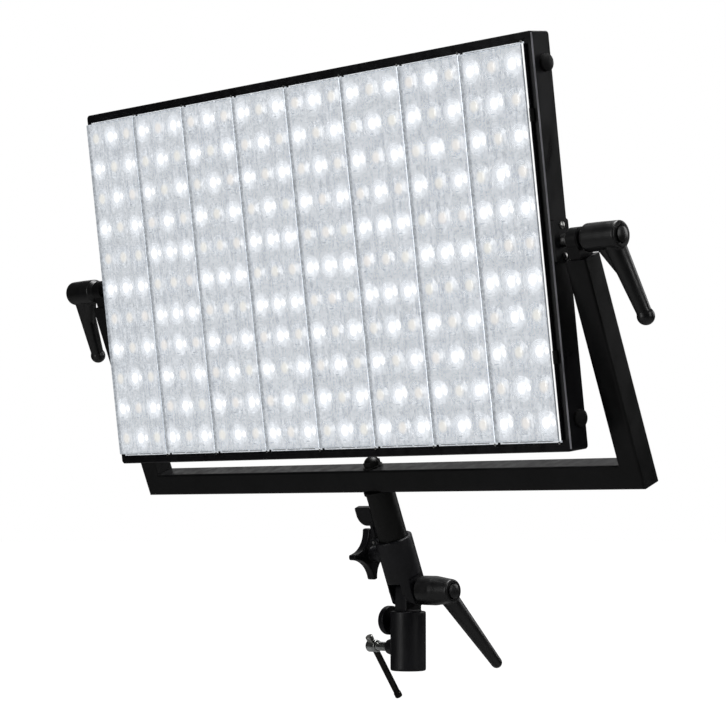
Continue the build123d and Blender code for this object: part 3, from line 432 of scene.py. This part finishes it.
def lens_face():
    """Clear ribbed plate lit from behind: lit spots, dull warm ones, streaks, ring shadows."""
    s = Shader("lens_clear_face")
    cell = s.node("ShaderNodeUVMap", uv_map="cell").outputs["UV"]
    place = s.vector("MULTIPLY", s.vector("SUBTRACT", cell, (0.5, 0.5, 0)), (UV_SPAN, UV_SPAN, 0))
    across, along, _ = s.split(s.node("ShaderNodeUVMap", uv_map="strip").outputs["UV"])
    lit, vary, last = [
        s.node("ShaderNodeAttribute", attribute_name=name).outputs["Fac"]
        for name in ("lit", "vary", "last")
    ]

    sparkle = s.noise(420.0, 3.0, stretch=(1.3, 1, 1), distortion=1.2)
    streaks = s.noise(330.0, 4.0, stretch=(1.0, 1, 0.18))
    clouds = s.noise(36.0, 3.0)
    unrest = s.math("SUBTRACT", sparkle, 0.5)
    ragged = s.times(unrest, 2.4)

    def blob(middle, stretch, inner, outer):
        """A ragged spot in a cell: its middle and radii are in millimetres."""
        away = s.vector("MULTIPLY", s.vector("SUBTRACT", place, middle), stretch)
        reach = s.math("ADD", s.vector("LENGTH", away), ragged)
        return s.ramp(reach, inner, outer, 1.0, 0.0, smooth=True)

    # The plate: streaks and clouds, shaded by the teeth and by flecks.
    plate = s.mix(s.ramp(streaks, 0.34, 0.66), (0.52, 0.555, 0.60), (0.76, 0.79, 0.83))
    plate = s.mix(s.ramp(clouds, 0.36, 0.64, 0.0, 0.6), plate, (0.66, 0.69, 0.72))
    distance = s.vector("LENGTH", place)
    rings = s.math("FRACT", s.math("DIVIDE", s.math("SUBTRACT", distance, DOME_R), TOOTH_PITCH))
    ring_shade = s.times(s.ramp(rings, 0.0, 1.0, -0.5, 0.5), s.ramp(sparkle, 0.42, 0.66))
    fleck = s.ramp(sparkle, 0.30, 0.72, 0.68, 1.26)
    tone = s.times(s.math("ADD", 1.0, s.times(ring_shade, 0.8)), fleck)
    grey = s.node("ShaderNodeCombineXYZ")
    for socket in grey.inputs:
        s.join(tone, socket)
    plate = s.mix(1.0, plate, grey.outputs[0], "MULTIPLY")

    # What each cell adds: an unlit warm emitter, a glint beside it, the glow round a lit one,
    # and a dark crescent below its middle.
    warm_spot = blob((1.2, 0.5, 0), (0.85, 0.8, 1), 2.4, 6.4)
    warm = s.times(warm_spot, s.math("SUBTRACT", 1.0, lit))
    warm_tint = s.mix(vary, (0.89, 0.86, 0.77), (0.91, 0.85, 0.79))
    plate = s.mix(s.times(warm, 0.66), plate, warm_tint)
    glint_spot = blob((9.6, 0.5, 0), (2.6, 0.62, 1), 2.2, 4.6)
    glint = s.times(glint_spot, s.ramp(vary, 0.0, 1.0, 0.15, 0.6))
    plate = s.mix(glint, plate, (0.97, 0.98, 1.0))
    halo = s.times(blob((1.2, 0, 0), (0.9, 0.85, 1), 4.0, 15.0), lit)
    plate = s.mix(s.times(halo, 0.45), plate, (0.95, 0.97, 1.0))
    crescent = blob((-2.6, -10.2, 0), (0.5, 2.1, 1), 0.9, 2.0)
    shadow = s.times(crescent, s.ramp(vary, 0.2, 0.8, 0.1, 0.55))
    plate = s.mix(shadow, plate, (0.24, 0.26, 0.29))

    # The strip's own edges: painted shade of the dark inner side wall seen through the face on
    # the left, a line on the last one, duller ends.
    edge = s.math("ADD", across, s.times(unrest, 0.03))
    # Painted shade: the dark inner side wall, seen through the face along the strip's left edge.
    painted_wall_shade = s.ramp(edge, 0.030, 0.090, 1.0, 0.0, smooth=True)
    painted_wall_grain = s.ramp(s.noise(300.0, 4.0), 0.38, 0.62)
    painted_wall_tint = s.mix(painted_wall_grain, (0.17, 0.185, 0.205), (0.40, 0.43, 0.46))
    plate = s.mix(s.times(painted_wall_shade, 0.85), plate, painted_wall_tint)
    line = s.times(s.ramp(across, 0.979, 0.985), last)
    plate = s.mix(s.times(line, 0.9), plate, (0.10, 0.11, 0.12))
    from_middle = s.math("ABSOLUTE", s.math("SUBTRACT", along, 0.5))
    near_end = s.ramp(from_middle, 0.4935, 0.4975)
    plate = s.mix(s.times(near_end, 0.45), plate, (0.30, 0.33, 0.36))

    main_spot = blob((0, 0, 0), (1.0, 0.88, 1), 2.6, 6.0)
    # Painted reflection: a second, smaller image of each lit emitter beside it, where the plate
    # shows it at a slant.
    painted_emitter_image = blob((9.3, 0.3, 0), (1, 0.8, 1), 0.8, 3.4)
    spot = s.times(s.math("MAXIMUM", main_spot, painted_emitter_image), lit)
    level = s.math("ADD", s.times(spot, 0.7), s.times(s.math("ADD", halo, warm), 0.09))
    s.set(Base_Color=s.mix(0.5, plate, (0.55, 0.58, 0.62)))
    s.set(Emission_Color=s.mix(spot, plate, (1.0, 1.0, 1.0)))
    s.set(Emission_Strength=s.math("ADD", 0.72, level))
    s.set(Roughness=s.ramp(sparkle, 0.2, 0.8, 0.10, 0.26), Coat_Weight=0.4, Coat_Roughness=0.06)
    s.set(Normal=s.bump(sparkle, 0.35, 0.12 * MM))
    return s.material


def lens_edge():
    """The plate's polished sides and tabs, which carry light to their edges."""
    s = Shader("lens_clear_edge")
    flow = s.noise(240.0, 3.0, stretch=(1, 1, 0.2))
    colour = s.mix(s.ramp(flow, 0.3, 0.7), (0.62, 0.66, 0.71), (0.92, 0.95, 0.98))
    s.set(Base_Color=colour, Emission_Color=colour, Emission_Strength=0.55)
    s.set(Roughness=s.ramp(flow, 0, 1, 0.08, 0.25), Normal=s.bump(flow, 0.3, 0.05 * MM))
    return s.material


def lens_wall():
    """The plate's clear side walls: lit along the face's edge, dark where the housing shows."""
    s = Shader("lens_clear_wall")
    inward = s.split(s.coords)[1]
    flow = s.noise(240.0, 3.0, stretch=(1, 1, 0.2))
    face_y = panel_box("lens_plate_1")[0].y * MM
    depth = s.math("ADD", s.math("SUBTRACT", inward, face_y), s.times(flow, 0.6 * MM))
    lit = s.ramp(depth, WALL_LIT * MM, (WALL_LIT + WALL_FADE) * MM, 1.0, 0.0)
    s.set(Base_Color=s.mix(lit, (0.010, 0.010, 0.013), (0.80, 0.83, 0.86)))
    s.set(Emission_Color=(1.0, 1.0, 1.0, 1.0))
    s.set(Emission_Strength=s.times(lit, s.ramp(flow, 0.3, 0.7, 0.85, 1.15)))
    s.set(Roughness=s.ramp(flow, 0, 1, 0.15, 0.35), Normal=s.bump(flow, 0.3, 0.05 * MM))
    return s.material


LENS_FACE = lens_face()
LENS_EDGE = lens_edge()
LENS_WALL = lens_wall()


# ---- pieces ----
def add_piece(name, mesh, body, materials, place=None, stands_for=()):
    """Puts a mesh into the scene on its body, in place of the CAD nodes named."""
    piece = bpy.data.objects.new(name, mesh)
    bpy.context.scene.collection.objects.link(piece)
    if place:
        piece.matrix_world = place
    if mesh.materials:
        mesh.materials.clear()
    for material in materials:
        mesh.materials.append(material)
    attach(piece, body)
    if stands_for:
        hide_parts(*stands_for)
    return piece


def is_cool(strip, row, column):
    """Cool and warm emitters alternate, apart from three full rows across a strip's middle."""
    from_end = min(row, ROWS - 1 - row)
    if from_end >= ROWS // 2 - 1:
        cool = from_end == ROWS // 2
    else:
        cool = (column == COLUMNS // 2) == (from_end % 2 == 0)
    return cool == (strip % 2 == 0)


def ring_angles():
    """Directions round a cell, denser at its sides, with one through each corner."""
    corner = math.atan2(CELL_HALF_H, CELL_HALF_W)
    first = [corner * i / CORNER_STEPS for i in range(CORNER_STEPS)]
    second = [corner + (math.pi / 2 - corner) * i / SIDE_STEPS for i in range(SIDE_STEPS)]
    quarter = first + second
    mirrored = [math.pi - a for a in reversed(quarter[1:])]
    half = quarter + [math.pi / 2] + mirrored
    return half + [a + math.pi for a in half]


def ring_profile():
    """Radius and depth of each ring below the plate's highest point."""
    rings = [(DOME_R * f, RELIEF * f * f * RIM_DEPTH) for f in DOME_RINGS]
    for tooth in range(TOOTH_COUNT):
        valley = DOME_R + tooth * TOOTH_PITCH
        rings.append((valley + TOOTH_FACE, RELIEF - TOOTH_DEPTH))
        rings.append((valley + TOOTH_PITCH, RELIEF))
    return rings


def cell_template():
    """One lens cell: round teeth that blend into its rectangle. Points are (x, depth, z)."""
    angles = ring_angles()
    count = len(angles)
    points = [(0.0, 0.0, 0.0)]
    for radius, depth in ring_profile():
        points += [(radius * math.cos(a), depth, radius * math.sin(a)) for a in angles]
    last = ring_profile()[-1][0]
    for blend, depth in ((0.5, RELIEF * BLEND_DEPTH), (1.0, RELIEF * RIM_DEPTH)):
        for a in angles:
            c, d = math.cos(a), math.sin(a)
            reach = min(CELL_HALF_W / max(abs(c), 1e-9), CELL_HALF_H / max(abs(d), 1e-9))
            radius = last + (reach - last) * blend
            points.append((radius * c, depth, radius * d))
    faces = [(0, 1 + i, 1 + (i + 1) % count) for i in range(count)]
    rings = (len(points) - 1) // count
    for ring in range(rings - 1):
        a, b = 1 + ring * count, 1 + (ring + 1) * count
        faces += [(a + i, b + i, b + (i + 1) % count, a + (i + 1) % count) for i in range(count)]
    return points, faces


CELL_POINTS, CELL_FACES = cell_template()


def strip_cells(strip, low, high):
    """The ribbed face of one strip as a mesh, with what its cells' finish is read from."""
    middle_x = (low.x + high.x) / 2
    middle_z = (low.z + high.z) / 2
    points, faces, cell_uv, lit, vary = [], [], [], [], []
    random = np.random.default_rng(strip + SEED)
    for row in range(ROWS):
        for column in range(COLUMNS):
            x0 = middle_x + (column - (COLUMNS - 1) / 2) * COLUMN_PITCH
            z0 = middle_z + ((ROWS - 1) / 2 - row) * ROW_PITCH
            start = len(points)
            corner = (x0, low.y, z0)
            points += [tuple((a + b) * MM for a, b in zip(corner, p)) for p in CELL_POINTS]
            faces += [tuple(start + i for i in face) for face in CELL_FACES]
            for face in CELL_FACES:
                for i in face:
                    x, _, z = CELL_POINTS[i]
                    cell_uv += [x / UV_SPAN + 0.5, z / UV_SPAN + 0.5]
            lit += [1.0 if is_cool(strip, row, column) else 0.0] * len(CELL_FACES)
            vary += [float(random.random())] * len(CELL_FACES)
    mesh = bpy.data.meshes.new(f"lens_strip_{strip + 1}")
    mesh.from_pydata(points, [], faces)
    mesh.uv_layers.new(name="cell").data.foreach_set("uv", cell_uv)
    corners = np.array([points[i] for face in faces for i in face]) / MM
    strip_uv = np.empty((len(corners), 2))
    strip_uv[:, 0] = (corners[:, 0] - low.x) / (high.x - low.x)
    strip_uv[:, 1] = (corners[:, 2] - low.z) / (high.z - low.z)
    mesh.uv_layers.new(name="strip").data.foreach_set("uv", strip_uv.ravel())
    last = [1.0 if strip == STRIP_COUNT - 1 else 0.0] * len(lit)
    for name, values in (("lit", lit), ("vary", vary), ("last", last)):
        mesh.attributes.new(name, "FLOAT", "FACE").data.foreach_set("value", values)
    return mesh


def skirt(bm, low, high):
    """Grows the open rim of the ribbed face into the plate's bevel, walls and hollow back."""
    bmesh.ops.remove_doubles(bm, verts=bm.verts, dist=WELD)
    rim = [edge for edge in bm.edges if edge.is_boundary]
    middle = (low + high) / 2
    half_w = (high.x - low.x) / 2
    half_h = (high.z - low.z) / 2
    cells_w = COLUMNS * CELL_HALF_W
    cells_h = ROWS * CELL_HALF_H
    deep = high.y - low.y
    # Half width, half height and depth of each outline in turn; the first two are the bevel.
    outline = [
        (half_w - EDGE_BEVEL * 0.5, half_h - EDGE_BEVEL, RELIEF * 0.5),
        (half_w, half_h, RELIEF * 0.5 + EDGE_BEVEL),
        (half_w, half_h, deep),
        (half_w - WALL_T, half_h - WALL_T, deep),
        (half_w - WALL_T, half_h - WALL_T, PLATE_T),
    ]
    for step, (w, h, depth) in enumerate(outline):
        grown = bmesh.ops.extrude_edge_only(bm, edges=rim)["geom"]
        for vert in (g for g in grown if isinstance(g, bmesh.types.BMVert)):
            x, z = vert.co.x / MM - middle.x, vert.co.z / MM - middle.z
            if abs(x) > cells_w - RIM_SLACK:
                x = math.copysign(w, x)
            if abs(z) > cells_h - RIM_SLACK:
                z = math.copysign(h, z)
            vert.co = Vector((middle.x + x, low.y + depth, middle.z + z)) * MM
        for face in (g for g in grown if isinstance(g, bmesh.types.BMFace)):
            face.material_index = FACE_INDEX if step <= 1 else WALL_INDEX
        rim = [g for g in grown if isinstance(g, bmesh.types.BMEdge)]
        cells_w = min(cells_w, w)
        cells_h = min(cells_h, h)
    for face in bmesh.ops.contextual_create(bm, geom=rim)["faces"]:
        face.material_index = EDGE_INDEX


def add_box(bm, low, high):
    """A box of clear plate between two corners in millimetres."""
    low, high = Vector(low) * MM, Vector(high) * MM
    place = Matrix.Translation((low + high) / 2) @ Matrix.Diagonal((*(high - low), 1.0))
    made = bmesh.ops.create_cube(bm, size=1.0, matrix=place)
    for face in {f for v in made["verts"] for f in v.link_faces}:
        face.material_index = EDGE_INDEX


def lens_tabs(bm, low, high, seat_y):
    """The flange past each end of a strip: a rail on ribs, slots between, and a screw tab."""
    tab_start, tab_end = high.x - TAB_W, high.x - TAB_INSET

    def bar(x0, x1, *ends):
        z0, z1 = sorted(ends)
        add_box(bm, (x0, seat_y - TAB_T, z0), (x1, seat_y, z1))

    for end in (-1, 1):
        start = (high.z if end > 0 else low.z) - end * TAB_LAP
        rib_end = start + end * (TAB_LAP + SLOT_H)
        for rib in range(RIB_COUNT):
            x = low.x + (tab_start - low.x) * rib / RIB_COUNT
            bar(x, x + RIB_W, start, rib_end)
        bar(tab_start, tab_end, start, rib_end)
        bar(low.x, tab_end, rib_end, rib_end + end * RAIL_H)


def lens_strips():
    """Eight ribbed lens plates in place of the plain CAD trays."""
    seat_y = panel_box("lens_screws")[0].y + SCREW_SEAT
    materials = (LENS_FACE, LENS_EDGE, LENS_WALL)
    for strip in range(STRIP_COUNT):
        node = f"lens_plate_{strip + 1}"
        low, high = panel_box(node)
        mesh = strip_cells(strip, low, high)
        bm = bmesh.new()
        bm.from_mesh(mesh)
        skirt(bm, low, high)
        lens_tabs(bm, low, high, seat_y)
        bmesh.ops.recalc_face_normals(bm, faces=bm.faces)
        bm.to_mesh(mesh)
        bm.free()
        name = f"lens_strip_{strip + 1}"
        add_piece(name, mesh, "panel", materials, PANEL, [node])


def button_space(button):
    """A cutter a little wider and deeper than the travel of the button in a lever's hub."""
    mesh = frame["nodes"][button].data
    xs = [v.co.x for v in mesh.vertices]
    ys = [v.co.y for v in mesh.vertices]
    zs = [v.co.z for v in mesh.vertices]
    side = math.copysign(1.0, min(xs) + max(xs))
    inner = (min(xs) if side > 0 else max(xs)) - side * BUTTON_TRAVEL * MM
    outer = (max(xs) if side > 0 else min(xs)) + side * BUTTON_OPEN * MM
    radius = (max(ys) - min(ys)) / 2 + BUTTON_CLEAR * MM
    middle = Vector(((inner + outer) / 2, (min(ys) + max(ys)) / 2, (min(zs) + max(zs)) / 2))
    cutter = bpy.data.meshes.new(f"{button}_space")
    bm = bmesh.new()
    bmesh.ops.create_cone(
        bm,
        cap_ends=True,
        segments=BUTTON_SEGMENTS,
        radius1=radius,
        radius2=radius,
        depth=abs(outer - inner),
        matrix=Matrix.Translation(middle) @ Matrix.Rotation(math.pi / 2, 4, "Y"),
    )
    bm.to_mesh(cutter)
    bm.free()
    return bpy.data.objects.new(cutter.name, cutter)


def moulded(node, voxel, passes, slot, button=None):
    """A CAD piece again, with the soft corners and blended joints of a casting or moulding."""
    mesh = frame["nodes"][node].data.copy()
    bm = bmesh.new()
    bm.from_mesh(mesh)
    bmesh.ops.remove_doubles(bm, verts=bm.verts, dist=WELD)
    bm.to_mesh(mesh)
    bm.free()
    rough = bpy.data.objects.new(f"{node}_rough", mesh)
    bpy.context.scene.collection.objects.link(rough)
    remesh = rough.modifiers.new("grain", "REMESH")
    remesh.mode = "VOXEL"
    remesh.voxel_size = voxel
    soften = rough.modifiers.new("soften", "SMOOTH")
    soften.factor = 0.5
    soften.iterations = passes
    if button:
        space = button_space(button)
        bpy.context.scene.collection.objects.link(space)
        cut = rough.modifiers.new("button", "BOOLEAN")
        cut.operation = "DIFFERENCE"
        cut.object = space
    graph = bpy.context.evaluated_depsgraph_get()
    finished = bpy.data.meshes.new_from_object(rough.evaluated_get(graph))
    bpy.data.objects.remove(rough)
    if button:
        bpy.data.objects.remove(space)
    finished.shade_smooth()
    add_piece(f"{node}_moulded", finished, BODY_OF[node], [FINISHES[slot]], None, [node])


# The voxel size, rounds of smoothing, slot, and any button in each softened piece.
MOULDED = {
    "pivot_lever_left": (FINE_VOXEL, 14, "lever_black", "pivot_button_left"),
    "pivot_lever_right": (FINE_VOXEL, 14, "lever_black", "pivot_button_right"),
    "tilt_lever": (FINE_VOXEL, 12, "lever_black", "tilt_button"),
    "star_knob": (FINE_VOXEL, 6, "grip_black"),
    "catch_paddle": (SMALL_VOXEL, 5, "grip_black"),
    "receiver": (CAST_VOXEL, 4, "casting_black"),
    "upper_socket": (CAST_VOXEL, 4, "casting_black"),
}


def paint_nodes():
    """Every CAD node that still shows gets its finish by its slot's name."""
    for node in frame["nodes"].values():
        for holder in node.material_slots:
            finish = FINISHES.get(holder.material.name) if holder.material else None
            if finish:
                holder.material = finish


def add_floor(height):
    """A pale floor that shows white to the camera and throws only a soft grey back up."""
    mesh = bpy.data.meshes.new("floor")
    bm = bmesh.new()
    bmesh.ops.create_grid(bm, x_segments=8, y_segments=8, size=FLOOR_SIZE / 2)
    bm.to_mesh(mesh)
    bm.free()
    floor = bpy.data.objects.new("floor", mesh)
    bpy.context.scene.collection.objects.link(floor)
    floor.location = (0, 0, height)
    s = Shader("floor_pale")
    tone = s.mix(s.noise(1.5, 3.0), (0.88, 0.88, 0.88), (0.90, 0.90, 0.90))
    s.set(Base_Color=s.mix(FLOOR_GREY, tone, (0.0, 0.0, 0.0)), Roughness=0.9, Emission_Color=tone)
    seen = s.node("ShaderNodeLightPath").outputs["Is Camera Ray"]
    s.set(Emission_Strength=s.times(seen, FLOOR_GLOW))
    mesh.materials.append(s.material)


def add_lights(middle):
    """A soft overhead light and four weaker ones round the object, all aimed at its middle."""
    for name, (offset, width, height, power) in LIGHTS.items():
        light = bpy.data.lights.new(name, "AREA")
        light.shape = "RECTANGLE"
        light.size, light.size_y, light.energy = width, height, power
        holder = bpy.data.objects.new(name, light)
        bpy.context.scene.collection.objects.link(holder)
        holder.location = middle + Vector(offset)
        aim = middle - (middle + Vector(offset))
        holder.rotation_euler = aim.to_track_quat("-Z", "Y").to_euler()


def add_surround():
    """A white background for the camera, and a dim grey one for everything it lights."""
    world = bpy.data.worlds.new("studio")
    world.use_nodes = True
    tree = world.node_tree
    tree.nodes.clear()
    path = tree.nodes.new("ShaderNodeLightPath")
    level = tree.nodes.new("ShaderNodeMapRange")
    level.inputs["To Min"].default_value = SURROUND
    level.inputs["To Max"].default_value = BACKGROUND
    tree.links.new(path.outputs["Is Camera Ray"], level.inputs["Value"])
    sky = tree.nodes.new("ShaderNodeBackground")
    sky.inputs["Color"].default_value = (1, 1, 1, 1)
    tree.links.new(level.outputs["Result"], sky.inputs["Strength"])
    out = tree.nodes.new("ShaderNodeOutputWorld")
    tree.links.new(sky.outputs[0], out.inputs["Surface"])
    bpy.context.scene.world = world
    bpy.context.scene.view_settings.view_transform = "Standard"


def add_camera():
    """A long lens from the front right, a little below the panel's middle and tipped up."""
    lens = bpy.data.cameras.new("camera")
    lens.sensor_width = SENSOR_W
    lens.lens = FOCAL_L
    camera = bpy.data.objects.new("camera", lens)
    bpy.context.scene.collection.objects.link(camera)
    flat = math.cos(VIEW_PITCH)
    ahead = Vector(
        (-math.sin(VIEW_AZIMUTH) * flat, math.cos(VIEW_AZIMUTH) * flat, math.sin(VIEW_PITCH))
    )
    camera.location = VIEW_AIM - ahead * VIEW_DISTANCE
    camera.rotation_euler = ahead.to_track_quat("-Z", "Y").to_euler()
    bpy.context.scene.camera = camera


def stage_set():
    """Clears what the new file came with, then adds the floor, lights, surround and camera."""
    for stray in [o for o in bpy.context.scene.objects if o.name in ("Cube", "Light", "Camera")]:
        bpy.data.objects.remove(stray)
    low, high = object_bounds()
    add_floor(low.z - FLOOR_DROP)
    add_lights((low + high) / 2)
    add_surround()
    add_camera()


paint_nodes()
lens_strips()
for node, settings in MOULDED.items():
    moulded(node, *settings)
stage_set()
